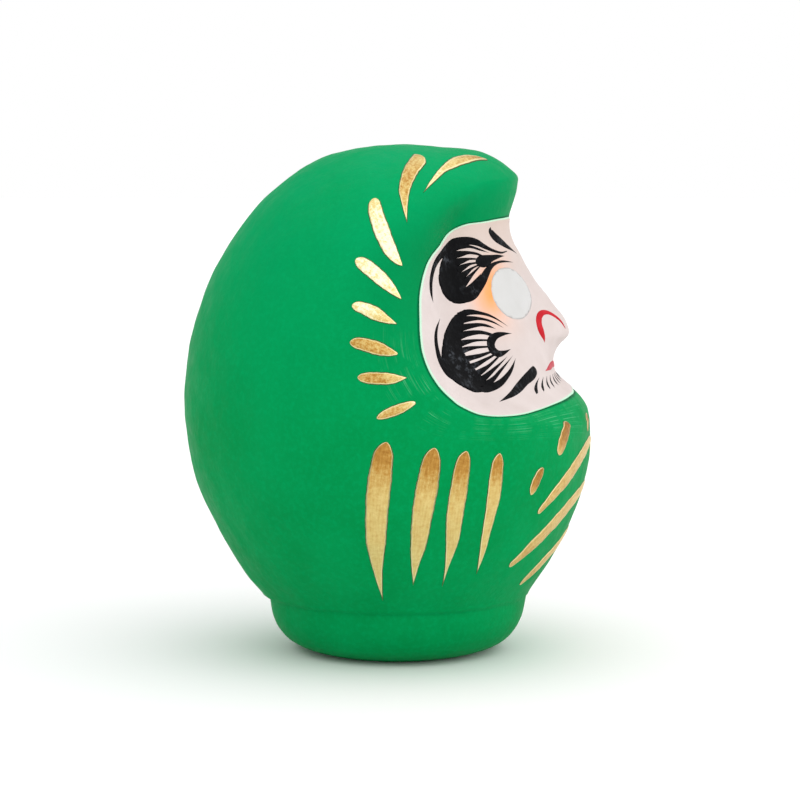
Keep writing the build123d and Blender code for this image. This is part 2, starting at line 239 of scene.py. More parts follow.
class Film:
    """Strokes and patches of paint that end up in one mesh."""

    def __init__(self, base, thick):
        self.base, self.thick = base, thick
        self.points, self.faces, self.along, self.painted_light_tone = [], [], [], []

    def add(self, points, faces, along, painted_light_tone):
        first = sum(len(p) for p in self.points)
        self.points.append(np.asarray(points))
        self.faces += [tuple(first + i for i in f) for f in faces]
        self.along.append(np.asarray(along, float))
        self.painted_light_tone.append(np.asarray(painted_light_tone, float))

    def stroke(self, *stations, painted_light_tone=(0.5, 0.5), blunt=(0, 0), waver=0.0, per_station=10,
               across=9, mirrored=False):
        """One stroke of the brush through its stations; the level of painted reflection runs from end to
        end.

        blunt is the length over which the first and last end round off, 0 for a bare point,
        and waver the share by which the width comes and goes.
        """
        table = np.array(stations, float)
        if mirrored:
            table[:, 0] *= -1
        index = np.arange(len(table))
        azimuth, height, half = [curve(*zip(index, table[:, k])) for k in range(3)]
        rows = (len(table) - 1) * per_station + 1
        even = np.linspace(0, 1, rows)
        towards_ends = np.sin(4 * np.pi * even) / (5 * np.pi) * (np.abs(even - 0.5) > 0.25)
        t = (len(table) - 1) * (even - towards_ends)
        r = radius_at(azimuth(t), height(t))
        rounded = np.radians(np.diff(azimuth(t))) * r[1:]
        travelled = np.concatenate([[0], np.cumsum(np.hypot(rounded, np.diff(height(t))))])
        near = 0.04
        run = np.radians(azimuth(t + near) - azimuth(t - near)) * r
        rise = height(t + near) - height(t - near)
        length = np.maximum(np.hypot(run, rise), 1e-9)
        k = np.linspace(-1, 1, across)
        width = half(t) * (1 + waver * np.sin(1.3 * travelled + table[0, 1]))
        width = width * (1 + waver * np.sin(3.4 * travelled + table[0, 0]))
        for cap, gone in zip(blunt, (travelled, travelled[-1] - travelled)):
            if cap:
                width = width * np.sqrt(1 - (1 - np.clip(gone / cap, 0, 1)) ** 2)
        width = np.clip(width, 0.015, None)
        a = azimuth(t)[:, None] - np.degrees(rise / length * width / r)[:, None] * k
        z = height(t)[:, None] + (run / length * width)[:, None] * k
        rounding = np.sqrt(np.clip(1 - k**2, 0, 1)) ** 0.8
        full = np.clip(width / 0.5, 0.25, 1)[:, None]
        lift = self.base + self.thick * full * rounding - EDGE_DIP * (1 - rounding)
        points = laid(a, z, lift).reshape(-1, 3)
        faces = []
        for i in range(rows - 1):
            for j in range(across - 1):
                c = i * across + j
                faces.append((c, c + 1, c + across + 1, c + across))
            left, right = i * across, i * across + across - 1
            faces.append((right, left, left + across, right + across))
        last = (rows - 1) * across
        faces.append(tuple(range(across))[::-1])
        faces.append(tuple(range(last, last + across)))
        across_mm = np.broadcast_to(k, a.shape) * width[:, None]
        along = np.stack([np.broadcast_to(travelled[:, None], a.shape), across_mm], -1)
        share = np.broadcast_to((t / t[-1])[:, None], a.shape)
        tones = np.interp(share, np.linspace(0, 1, len(painted_light_tone)), painted_light_tone)
        inward = width[:, None] - np.abs(across_mm)
        self.add(points, faces, along.reshape(-1, 2), np.stack([tones, inward], -1).reshape(-1, 2))

    def patch(self, outline, spacing=0.6, edge=0.5, mirrored=False):
        """A filled area inside a smooth closed outline of (azimuth, height) points."""
        corner = np.array(outline, float)
        if mirrored:
            corner[:, 0] *= -1
        scale = np.radians(1) * float(radius_at(*corner.mean(axis=0)[:, None]).mean())
        flat = corner * (scale, 1)
        ring = np.concatenate([flat[-2:], flat, flat[:3]])
        t = np.arange(len(ring)) - 2.0
        smooth = [curve(*zip(t, ring[:, k])) for k in (0, 1)]
        count = int(np.sum(np.linalg.norm(np.diff(ring[1:-2], axis=0), axis=1)) / (spacing * 0.7))
        at = np.arange(count) * len(flat) / count
        border = np.stack([smooth[0](at), smooth[1](at)], -1)
        low, high = border.min(axis=0), border.max(axis=0)
        grid = np.stack(np.meshgrid(np.arange(low[0], high[0], spacing),
                                    np.arange(low[1], high[1], spacing)), -1).reshape(-1, 2)
        away = distance_to(grid, border)
        grid = grid[is_inside(grid, border) & (away > spacing * 0.5)]
        verts = [Vector(p) for p in np.concatenate([border, grid])]
        made = delaunay_2d_cdt(verts, [], [list(range(len(border)))], 1, 1e-5)
        flat_points = np.array([tuple(v) for v in made[0]])
        triangles = made[2]
        depth = np.clip(distance_to(flat_points, border) / edge, 0, 1)
        on_edge = depth < 1e-4
        rounding = np.sqrt(1 - (1 - depth) ** 2)
        place = flat_points / (scale, 1)
        lift = self.base + self.thick * rounding - EDGE_DIP * (1 - rounding)
        top = laid(place[:, 0], place[:, 1], lift)
        bottom = laid(place[:, 0], place[:, 1], np.full(len(place), self.base - 0.12))
        under = {i: (i if on_edge[i] else len(top) + i) for i in range(len(top))}
        faces = [tuple(f) for f in triangles] + [tuple(under[i] for i in f[::-1]) for f in triangles]
        points = np.concatenate([top, bottom])
        along = np.concatenate([flat_points, flat_points])
        painted_light_tone = np.stack([np.full(len(points), 0.5), np.concatenate([1 - depth, depth * 0])], -1)
        self.add(points, faces, along, painted_light_tone)

    def finish(self, name, nodes, material):
        layers = (("along", np.concatenate(self.along)), ("painted_light_tone", np.concatenate(self.painted_light_tone)))
        points = np.concatenate(self.points)
        used = sorted({i for f in self.faces for i in f})
        place = {old: new for new, old in enumerate(used)}
        faces = [tuple(place[i] for i in f) for f in self.faces]
        layers = [(n, v[used]) for n, v in layers]
        return piece(name, points[used], faces, nodes, material, layers)


def distance_to(points, border):
    """Distance from each point to a closed outline."""
    best = np.full(len(points), 1e9)
    for a, b in zip(border, np.roll(border, -1, axis=0)):
        side = b - a
        t = np.clip(((points - a) @ side) / max(side @ side, 1e-12), 0, 1)
        best = np.minimum(best, np.linalg.norm(points - a - t[:, None] * side, axis=1))
    return best


def is_inside(points, border):
    """Even-odd test of points against a closed outline."""
    inside = np.zeros(len(points), bool)
    for a, b in zip(border, np.roll(border, -1, axis=0)):
        if a[1] == b[1]:
            continue
        crosses = (a[1] > points[:, 1]) != (b[1] > points[:, 1])
        at = a[0] + (points[:, 1] - a[1]) * (b[0] - a[0]) / (b[1] - a[1])
        inside ^= crosses & (points[:, 0] < at)
    return inside


# ---------------------------------------------------------------- materials
class Finish:
    """A procedural material, with short ways to add and join its nodes."""

    def __init__(self, name, **settings):
        self.material = bpy.data.materials.new(name)
        self.material.use_nodes = True
        self.tree = self.material.node_tree
        self.shader = self.tree.nodes["Principled BSDF"]
        for socket, value in settings.items():
            self.shader.inputs[socket.replace("_", " ")].default_value = value

    def node(self, kind, inputs=(), **settings):
        made = self.tree.nodes.new("ShaderNode" + kind)
        for key, value in settings.items():
            setattr(made, key, value)
        for socket, value in dict(inputs).items():
            if isinstance(value, bpy.types.NodeSocket):
                self.tree.links.new(value, made.inputs[socket])
            else:
                made.inputs[socket].default_value = value
        return made

    def noise(self, scale, detail=2.0, rough=0.5, vector=None):
        inputs = {"Scale": scale, "Detail": detail, "Roughness": rough}
        inputs["Vector"] = vector or self.node("TexCoord").outputs["Object"]
        return self.node("TexNoise", inputs).outputs["Fac"]

    def ramp(self, value, *stops):
        """Colours or grey levels against a value between 0 and 1."""
        made = self.node("ValToRGB", {"Fac": value})
        elements = made.color_ramp.elements
        while len(elements) < len(stops):
            elements.new(0.5)
        for element, (position, colour) in zip(elements, stops):
            element.position = position
            element.color = (colour,) * 3 + (1,) if np.isscalar(colour) else tuple(colour) + (1,)
        return made.outputs["Color"]

    def mix(self, factor, first, second, kind="MIX"):
        made = self.node("Mix", data_type="RGBA", blend_type=kind)
        for socket, value in ((0, factor), (6, first), (7, second)):
            if isinstance(value, bpy.types.NodeSocket):
                self.tree.links.new(value, made.inputs[socket])
            elif socket == 0:
                made.inputs[socket].default_value = value
            else:
                made.inputs[socket].default_value = tuple(value) + (1,)
        return made.outputs[2]

    def sum(self, first, second, kind="ADD"):
        made = self.node("Math", operation=kind)
        for socket, value in enumerate((first, second)):
            if isinstance(value, bpy.types.NodeSocket):
                self.tree.links.new(value, made.inputs[socket])
            else:
                made.inputs[socket].default_value = value
        return made.outputs[0]

    def rise(self):
        """Height in the object, as the share of 125 mm."""
        place = self.node("TexCoord").outputs["Object"]
        return self.sum(self.node("SeparateXYZ", {0: place}).outputs[2], 8.0, "MULTIPLY")

    def layer(self, name):
        split = self.node("SeparateXYZ", {0: self.node("UVMap", uv_map=name).outputs[0]})
        return split.outputs[0], split.outputs[1]

    def bump(self, height, distance, strength=1.0):
        made = self.node("Bump", {"Height": height, "Distance": distance, "Strength": strength})
        self.to("Normal", made.outputs[0])

    def to(self, socket, value):
        self.tree.links.new(value, self.shader.inputs[socket])


def rgb(red, green, blue):
    """A colour for a shader from the 0 to 255 levels that a screen shows."""
    levels = np.array([red, green, blue]) / 255
    linear = np.where(levels < 0.04045, levels / 12.92, ((levels + 0.055) / 1.055) ** 2.4)
    return tuple(float(v) for v in linear)


def green_paint():
    """Opaque green brushed on pulp: painted light makes it lighter towards the top, painted shade
    darkens the hollow under the hood and a thin line along the face's edge, and pale dry brush marks
    curve round the face, partly painted highlight.
    """
    f = Finish("green_paint", Roughness=0.5)
    f.shader.inputs["Specular IOR Level"].default_value = 0.02
    # Painted light: the green runs from darker low down to lighter at the top, as if lit from above.
    height = f.sum(f.rise(), f.sum(f.noise(45, 2), 0.2, "MULTIPLY"))
    painted_light_tone = f.ramp(height, (0.1, rgb(0, 132, 68)), (0.55, rgb(0, 138, 71)), (1.0, rgb(0, 155, 95)))
    broad = f.mix(f.ramp(f.noise(60, 3), (0.35, 0.0), (0.65, 0.5)), painted_light_tone, rgb(0, 150, 83))
    grain = f.noise(900, 3, 0.6)
    base = f.mix(f.ramp(grain, (0.45, 0.0), (0.75, 0.30)), broad, rgb(0, 166, 99))
    around, away = f.layer("brush")
    # Painted shade: the green is darkened near the face's upper edge, standing in for the shade in the
    # hollow under the hood.
    painted_hood_shade = f.ramp(f.sum(away, 0.05, "MULTIPLY"), (0.0, 1.0), (0.45, 0.7), (1.0, 0.0))
    above = f.ramp(around, (0.08, 0.6), (0.3, 1.0), (0.5, 0.55), (0.75, 0.0))
    painted_hood_shade = f.mix(1.0, f.mix(1.0, painted_hood_shade, above, "MULTIPLY"), (0.75, 0.75, 0.75), "MULTIPLY")
    base = f.mix(painted_hood_shade, base, rgb(0, 118, 62))
    # Painted shade: a thin dark green line just outside the face's edge.
    base = f.mix(f.ramp(away, (0.35, 0.8), (0.7, 0.0)), base, rgb(0, 80, 50))
    # Pale dry brush marks curving round the face, kept to its lower side: partly the paint's own marks,
    # partly painted highlight where that slope faces up.
    hairs = f.node("CombineXYZ", {0: f.sum(around, 4, "MULTIPLY"), 1: f.sum(away, 3.2, "MULTIPLY")})
    marks = f.noise(1.0, 3, 0.6, hairs.outputs[0])
    marks = f.ramp(marks, (0.55, 0.0), (0.70, 1.0))
    broken = f.ramp(f.noise(240, 2), (0.45, 0.0), (0.62, 1.0))
    near = f.ramp(f.sum(away, 0.08, "MULTIPLY"), (0.05, 0.0), (0.16, 1.0), (0.55, 0.9), (0.95, 0.0))
    low_side = f.ramp(around, (0.50, 0.0), (0.56, 0.6), (0.66, 1.0), (0.92, 1.0), (1.0, 0.6))
    amount = f.mix(1.0, f.mix(1.0, marks, broken, "MULTIPLY"), f.mix(1.0, near, low_side, "MULTIPLY"),
                   "MULTIPLY")
    amount = f.mix(1.0, amount, (0.6, 0.6, 0.6), "MULTIPLY")
    f.to("Base Color", f.mix(amount, base, rgb(120, 208, 160)))
    f.to("Roughness", f.ramp(f.noise(260, 3), (0.3, 0.42), (0.7, 0.56)))
    relief = f.sum(f.sum(f.noise(420, 4, 0.6), 0.7, "MULTIPLY"), f.sum(grain, 0.3, "MULTIPLY"))
    f.bump(relief, 0.00035, 0.5)
    return f.material


def face_paint():
    """Warm white ground with an orange blush by the eye, a pale rim, and painted shade at the top under
    the hood.
    """
    f = Finish("face_paint", Roughness=0.55)
    f.shader.inputs["Specular IOR Level"].default_value = 0.15
    broad = f.noise(120, 3)
    base = f.ramp(broad, (0.35, rgb(206, 193, 189)), (0.65, rgb(213, 201, 198)))
    rim, tint = f.layer("ground")
    blush = f.mix(f.ramp(f.noise(300, 2), (0.3, 0.85), (0.7, 1.0)), (0, 0, 0), (1, 1, 1))
    amount = f.mix(1.0, f.ramp(tint, (0.0, 0.0), (1.0, 1.0)), blush, "MULTIPLY")
    base = f.mix(amount, base, rgb(255, 156, 66))
    # Painted shade: the top of the face goes pinkish brown, standing in for the shade under the hood.
    face_top_painted_shade = f.ramp(f.rise(), (0.70, 0.0), (0.81, 0.65))
    base = f.mix(face_top_painted_shade, base, rgb(205, 182, 166))
    edge = f.ramp(rim, (0.0, 1.0), (0.22, 0.85), (0.44, 0.0))
    f.to("Base Color", f.mix(edge, base, rgb(190, 236, 206)))
    f.bump(f.noise(520, 3, 0.6), 0.00025, 0.35)
    return f.material


def eye_paint():
    """Thicker, smoother and cooler white, left blank for the owner."""
    f = Finish("eye_paint", Roughness=0.38)
    f.shader.inputs["Specular IOR Level"].default_value = 0.2
    f.to("Base Color", f.ramp(f.noise(180, 2), (0.3, rgb(201, 200, 198)), (0.7, rgb(206, 205, 204))))
    f.bump(f.noise(260, 2), 0.0002, 0.15)
    return f.material


def ink_paint():
    """Black ink with grey flecks, partly thinner ink on the high spots of the pulp and partly painted
    glints.
    """
    f = Finish("ink_paint", Roughness=0.42)
    f.shader.inputs["Specular IOR Level"].default_value = 0.05
    # Grey flecks: partly thinner ink on the pulp's high spots, partly painted glints.
    thin_ink_and_glint = f.ramp(f.noise(800, 4, 0.65), (0.5, 0.0), (0.72, 1.0))
    cloud = f.ramp(f.noise(150, 2), (0.5, 0.06), (0.66, 0.9))
    amount = f.mix(1.0, thin_ink_and_glint, cloud, "MULTIPLY")
    f.to("Base Color", f.mix(amount, rgb(5, 5, 7), rgb(74, 78, 84)))
    f.bump(f.noise(800, 3, 0.6), 0.00025, 0.8)
    return f.material


def red_paint(name, level):
    """Brushed red, a little thinner in places."""
    f = Finish(name, Roughness=0.45)
    f.shader.inputs["Specular IOR Level"].default_value = 0.15
    thin = tuple(min(1.0, v * 1.25 + 0.02) for v in level)
    f.to("Base Color", f.mix(f.ramp(f.noise(500, 3), (0.4, 0.0), (0.75, 0.7)), level, thin))
    f.bump(f.noise(700, 2), 0.0002, 0.3)
    return f.material


def gold_paint(name, mottle):
    """Metallic gold, brushed along the stroke, mottled, with a pale thicker rim; painted reflection
    makes it paler or browner along each stroke, and a thin painted shade line runs along its edge.
    """
    f = Finish(name, Metallic=0.8, Roughness=0.4)
    length, across = f.layer("along")
    painted_light_tone, inward = f.layer("painted_light_tone")
    lay = f.node("CombineXYZ", {0: f.sum(length, 0.22, "MULTIPLY"), 1: f.sum(across, 1.9, "MULTIPLY")})
    streak = f.noise(1.0, 4, 0.6, lay.outputs[0])
    cross = f.node("CombineXYZ", {0: f.sum(length, 1.1, "MULTIPLY"), 1: f.sum(across, 0.3, "MULTIPLY")})
    bands = f.noise(1.0, 3, 0.6, cross.outputs[0])
    fleck = f.noise(1300, 4, 0.75)
    # Painted reflection: the level carried with each stroke makes the gold paler where it would catch
    # the light and browner where it would not.
    value = f.sum(f.sum(f.sum(streak, 0.5, "SUBTRACT"), 0.5, "MULTIPLY"), painted_light_tone)
    value = f.sum(f.sum(f.sum(bands, 0.5, "SUBTRACT"), 0.35, "MULTIPLY"), value)
    value = f.sum(f.sum(f.sum(fleck, 0.5, "SUBTRACT"), mottle, "MULTIPLY"), value)
    shade = f.ramp(value, (0.0, rgb(158, 108, 40)), (0.2, rgb(188, 140, 64)), (0.42, rgb(212, 182, 110)),
                   (0.7, rgb(230, 210, 142)), (0.95, rgb(252, 246, 212)))
    shade = f.mix(f.ramp(inward, (0.22, 0.75), (0.45, 0.0)), shade, rgb(246, 236, 186))
    # Painted shade: a thin dark line along the edge of the stroke.
    f.to("Base Color", f.mix(f.ramp(inward, (0.09, 0.9), (0.2, 0.0)), shade, rgb(66, 72, 26)))
    f.to("Roughness", f.ramp(streak, (0.3, 0.5), (0.7, 0.36)))
    f.bump(f.sum(streak, fleck), 0.0002, 0.35)
    return f.material


def bare_paper():
    """Uncoated pasted paper with short fibres."""
    f = Finish("bare_paper", Roughness=0.9)
    fibres = f.noise(400, 5, 0.7)
    f.to("Base Color", f.ramp(fibres, (0.3, rgb(196, 186, 164)), (0.7, rgb(222, 214, 196))))
    f.bump(f.noise(800, 4, 0.7), 0.0002, 0.5)
    return f.material


GREEN, FACE, EYE, INK = green_paint(), face_paint(), eye_paint(), ink_paint()
NOSE_RED = red_paint("nose_red", rgb(184, 10, 28))
MOUTH_RED = red_paint("mouth_red", rgb(184, 52, 66))
GOLD, THIN_GOLD, PAPER = gold_paint("gold_paint", 0.5), gold_paint("thin_gold", 1.4), bare_paper()


# ---------------------------------------------------------------- body and foot
def face_edge(turn):
    """The face's outline as (azimuth, height), turn in radians round its middle."""
    across, up = np.cos(turn), np.sin(turn)
    reach = FACE_EDGE(np.degrees(np.arctan2(up, np.abs(across))))
    return FACE_HALF_ANGLE * reach * across, FACE_MIDDLE + FACE_HALF_HEIGHT * reach * up


def paper_body():
    """The moulded shell, front and back as one painted skin, with its inside."""
    columns = BODY_COLUMNS
    azimuth = np.linspace(0, 360, columns, endpoint=False)
    lowest = latitude_at(azimuth, np.full(columns, WAIST))
    share = np.concatenate([np.linspace(0, 0.80, 210, endpoint=False), np.linspace(0.80, 1, 84)[:-1]])
    latitude = lowest + (90 - lowest) * share[:, None]
    wide = np.broadcast_to(azimuth, latitude.shape)
    outer = skin(wide, latitude)
    inner_share = np.linspace(0, 1, 70)[:-1]
    inner_low = latitude_at(azimuth, np.full(columns, WAIST), -WALL)
    inner_latitude = inner_low + (90 - inner_low) * inner_share[:, None]
    inner = form(np.broadcast_to(azimuth, inner_latitude.shape), inner_latitude, -WALL)
    top = skin(np.zeros(1), np.full(1, 90.0))
    under_top = form(np.zeros(1), np.full(1, 90.0), -WALL)
    points = np.concatenate([outer.reshape(-1, 3), inner.reshape(-1, 3), top, under_top])
    faces = []
    nexts = np.roll(np.arange(columns), -1)
    for first, rows, flip in ((0, len(share), 1), (outer.size // 3, len(inner_share), -1)):
        for i in range(rows - 1):
            for j in range(columns):
                a, b = first + i * columns + j, first + i * columns + nexts[j]
                faces.append((a, b, b + columns, a + columns)[::flip])
    crown, under = len(points) - 2, len(points) - 1
    last, last_inner = (len(share) - 1) * columns, outer.size // 3 + (len(inner_share) - 1) * columns
    start_inner = outer.size // 3
    for j in range(columns):
        k = nexts[j]
        faces.append((last + j, last + k, crown))
        faces.append((last_inner + k, last_inner + j, under))
        faces.append((j, start_inner + j, start_inner + k, k))
    height = points[:, 2]
    angle = np.degrees(np.arctan2(-points[:, 0], -points[:, 1]))
    across, up = angle / FACE_HALF_ANGLE, (height - FACE_MIDDLE) / FACE_HALF_HEIGHT
    level = np.hypot(across, up) / FACE_EDGE(np.degrees(np.arctan2(up, np.abs(across))))
    size = np.hypot(across * FACE_HALF_ANGLE * 0.82, up * FACE_HALF_HEIGHT)
    away = (level - 1) * size / np.maximum(level, 0.2)
    around = np.arctan2(-up, np.abs(across)) / np.pi + 0.5
    return piece("paper_body", points, faces, ("shell_front", "shell_back"), GREEN,
                 [("brush", np.stack([around, away], -1))])


def revolve(profile, columns):
    """A closed solid turned from (radius, height, waviness) points, from axis to axis."""
    r, z, amount = np.array(profile, float).T
    turn = np.linspace(0, 2 * np.pi, columns, endpoint=False)
    ring = np.stack([r[:, None] * np.cos(turn), r[:, None] * np.sin(turn),
                     np.broadcast_to(z[:, None], (len(r), columns))], -1)
    flat = ring.reshape(-1, 3)
    lift = waviness(flat).reshape(len(r), columns) * amount[:, None]
    ring[..., 0] += lift * np.cos(turn)
    ring[..., 1] += lift * np.sin(turn)
    faces = []
    for i in range(len(r) - 1):
        for j in range(columns):
            a, b = i * columns + j, i * columns + (j + 1) % columns
            faces.append((a, b, b + columns, a + columns))
    return ring.reshape(-1, 3), faces


def arc(centre, radius, first, last, count, amount):
    """Points of a rounding in a profile."""
    turns = np.radians(np.linspace(first, last, count))
    return [(centre[0] + radius * np.cos(a), centre[1] + radius * np.sin(a), amount) for a in turns]


FOOT_WALL = curve((0.3, 19.4), (1.2, 22.4), (2.6, 25.2), (4.5, 27.2), (7.0, 28.7), (9.4, 29.5),
                  (11.2, 29.8))
FOOT_HEIGHTS = 0.3 + 10.9 * np.linspace(0, 1, 40) ** 1.5


def clay_foot():
    """The weighted foot, a shallow bowl, with its plug and the stick hole below."""
    flat_r, stick_r, stick_deep, spigot_r, spigot_top = 17.0, 3.0, 11.0, 26.4, 15.4
    profile = [(0.02, stick_deep, 0), (stick_r, stick_deep, 0), (stick_r, 0.5, 0)]
    profile += arc((stick_r + 0.5, 0.5), 0.5, 180, 270, 5, 0)
    profile += [(x, 0.0, 0) for x in np.linspace(6, flat_r, 8)]
    profile += [(flat_r + 1.2, 0.08, 0.1)]
    profile += [(float(FOOT_WALL(h)), h, min(1.0, h / 3)) for h in FOOT_HEIGHTS]
    profile += arc((28.9, 11.3), 0.9, 10, 90, 8, 0.6)
    profile += [(27.6, 12.2, 0), (spigot_r, 12.3, 0), (spigot_r, spigot_top, 0), (0.02, spigot_top, 0)]
    points, faces = revolve(profile, FOOT_COLUMNS)
    return piece("clay_foot", points, faces, ("base_weight",), GREEN,
                 [("brush", np.full((len(points), 2), FAR_FROM_FACE))])


def waist_paper():
    """Pasted paper that rounds off the crease between the shell and the foot."""
    columns = FOOT_COLUMNS
    azimuth = np.linspace(0, 360, columns, endpoint=False)
    turn = np.radians(azimuth)
    outward = np.stack([-np.sin(turn), -np.cos(turn), 0 * turn], -1)
    rings = [laid(azimuth, np.full(columns, h), np.full(columns, lift))
             for h, lift in ((18.0, -0.08), (17.0, -0.02), (16.2, 0.02), (15.4, 0.06), (14.8, 0.12),
                             (14.2, 0.24), (13.7, 0.42))]
    foot = [(h, float(FOOT_WALL(h)) + lift) for h, lift in ((10.8, 0.04), (10.0, 0.02), (9.2, -0.02),
                                                            (8.4, -0.08))]
    for h, r in [(13.0, 30.12), (12.4, 29.98), (11.7, 29.9)] + foot:
        ring = outward * r + (0, 0, h)
        rings.append(ring + outward * waviness(ring)[:, None])
    rings += [outward * r + (0, 0, h) for h, r in ((8.8, 28.2), (12.35, 28.2))]
    rings.append(laid(azimuth, np.full(columns, 14.5), np.full(columns, -0.5)))
    points = np.concatenate(rings)
    faces = []
    for i in range(len(rings)):
        for j in range(columns):
            k, n = (j + 1) % columns, (i + 1) % len(rings)
            faces.append((i * columns + j, i * columns + k, n * columns + k, n * columns + j))
    return piece("waist_paper", points, faces, ("waist_strips",), GREEN,
                 [("brush", np.full((len(points), 2), FAR_FROM_FACE))])


# ---------------------------------------------------------------- face
EYE_MIDDLE, EYE_REACH, EYE_LEAN = (31.0, 84.0), (16.4, 5.9), -2.9
RIGHT_EYE = [(31.3, 89.7), (38.6, 89.2), (44.2, 87.4), (46.7, 85), (46.5, 82.3), (44, 80), (38.6, 78.4),
             (30.8, 77.9), (22.7, 78.8), (17.2, 80.7), (14.2, 83.6), (14.6, 86.2), (18.4, 88.2),
             (24, 89.3)]


def face_ground():
    """The white ground of the face, a thin skin with a rounded edge."""
    columns, rings = BODY_COLUMNS, 110
    turn = np.linspace(0, 2 * np.pi, columns, endpoint=False)
    edge_azimuth, edge_height = face_edge(turn)
    share = np.sin(np.linspace(0.004, 1, rings) * np.pi / 2)
    azimuth = edge_azimuth * share[:, None]
    height = FACE_MIDDLE + (edge_height - FACE_MIDDLE) * share[:, None]
    r = radius_at(azimuth, height)
    drop = np.hypot(np.radians(edge_azimuth - azimuth) * r, edge_height - height)
    rounding = np.sqrt(1 - (1 - np.clip(drop / 0.7, 0, 1)) ** 2)
    top = laid(azimuth, height, 0.05 + 0.20 * rounding - 0.08 * (1 - rounding)).reshape(-1, 3)
    bottom = laid(azimuth[:-1], height[:-1], np.full(azimuth[:-1].shape, -0.12)).reshape(-1, 3)
    points = np.concatenate([top, bottom])
    faces = []
    for i in range(rings - 1):
        for j in range(columns):
            k = (j + 1) % columns
            a, b, c, d = i * columns + j, i * columns + k, (i + 1) * columns + k, (i + 1) * columns + j
            faces.append((a, b, c, d))
            low = len(top)
            under = (a + low, b + low, c + low if i < rings - 2 else c, d + low if i < rings - 2 else d)
            faces.append(under[::-1])
    faces.append(tuple(range(columns))[::-1])
    faces.append(tuple(len(top) + j for j in range(columns)))
    y = (height - EYE_MIDDLE[1]) / EYE_REACH[1]
    x = (np.abs(azimuth) - EYE_MIDDLE[0] - EYE_LEAN * y) / EYE_REACH[0]
    level = np.hypot(x, y)
    outside = np.clip(level - 1, 0, None) * np.hypot(x * 7.5, y * 5.9) / np.maximum(level, 0.3)
    bearing = np.degrees(np.arctan2(y, x))
    facing = np.exp(-((bearing - 8) / 60) ** 2)
    tint = np.exp(-(outside / 4.2) ** 2) * facing
    ground = np.stack([drop, tint], -1).reshape(-1, 2)
    ground = np.concatenate([ground, ground[:len(bottom)]])
    return piece("face_ground", points, faces, ("face_coat",), FACE, [("ground", ground)])


def both_sides(name, node, material, draw, base, thick):
    """The doll's right-hand piece as drawn, and its mirror image on the left."""
    for side, mirrored in (("right", False), ("left", True)):
        film = Film(base, thick)
        draw(film, mirrored)
        film.finish(f"{name}_{side}", (f"{node}_{side}",), material)


def draw_eye(film, mirrored):
    film.patch(RIGHT_EYE, spacing=0.7, edge=0.9, mirrored=mirrored)


BROW_BAND = [(78.1, 82.9, 0), (78.6, 85.2, 0.38), (78.2, 87.6, 0.5), (76.9, 89.8, 0.6),
             (74.7, 91.6, 0.75), (71.4, 93.1, 0.9), (67, 94.3, 1.1), (61, 95.4, 1.3),
             (54, 95.9, 1.0), (48.6, 95.5, 0.85), (43.8, 94.5, 0.6), (38.5, 93.6, 0.4),
             (31.5, 93, 0.28), (25, 93.2, 0.12)]
BROW_MASS = [(71.6, 91.9), (73.2, 90.2), (74.4, 88.2), (74.1, 86.2), (72.8, 84.4), (70.5, 83.1),
             (67.2, 82.3), (64, 82.1), (60.8, 82.5), (58.6, 83.6), (59, 85), (60.2, 86.6), (61.2, 88.6),
             (61.8, 90.6), (61.6, 92.6), (61, 94.2), (61.4, 95.4), (64.4, 95.4), (68.4, 94)]
BROW_HAIRS = [
    [(62, 94.6, 0.95), (58, 94.7, 0.62), (53, 94.6, 0.36), (47.5, 93.9, 0.28), (41.5, 93.1, 0)],
    [(63, 92.9, 0.95), (59, 93.1, 0.72), (54.8, 93.3, 0.42), (50, 93, 0.34), (46.5, 92.4, 0.3)],
    [(63, 91.2, 0.95), (59, 91.6, 0.68), (55, 91.9, 0.32), (50, 91.8, 0.22)],
    [(62.8, 89.5, 0.95), (59, 90.2, 0.66), (55, 90.8, 0.32), (50, 91, 0.22)],
    [(62.4, 87.9, 0.95), (58.6, 88.8, 0.64), (54.6, 89.8, 0.30), (50, 90.5, 0.2)],
    [(61.4, 86.4, 0.95), (58, 87.6, 0.62), (54.4, 88.8, 0.34), (50, 90.1, 0.2)],
    [(60, 84.9, 0.95), (56.8, 86, 0.64), (53.6, 87.2, 0.42), (49.8, 88.7, 0)],
]
BROW_SWEEP = [(65.5, 84.2, 1.5), (61.6, 83.7, 1.35), (57.6, 84.2, 1.3), (53.8, 85.6, 1.2),
              (50, 87.2, 1.1), (46, 88.9, 0.9), (42, 90.1, 0.62), (37, 90.8, 0.36),
              (30.5, 91, 0.28), (20, 90.6, 0)]
BROW_BUD = [(51.6, 91.1, 0.4), (50, 91.1, 1.15), (47.4, 91.25, 1.5), (44, 91.5, 1.3), (40, 91.9, 0.8),
            (34, 92.2, 0.42), (28.4, 92.2, 0)]
TICK = [(36, 98.9, 0), (36.4, 97.8, 0.9), (33, 96.4, 1.2), (28, 95.2, 0.95), (22.5, 94, 0.5),
        (17, 93.2, 0.22), (12, 92.4, 0)]


def draw_brow(film, mirrored):
    film.patch(BROW_MASS, mirrored=mirrored)
    for stations in [BROW_BAND, BROW_SWEEP, BROW_BUD] + BROW_HAIRS:
        film.stroke(*stations, mirrored=mirrored)


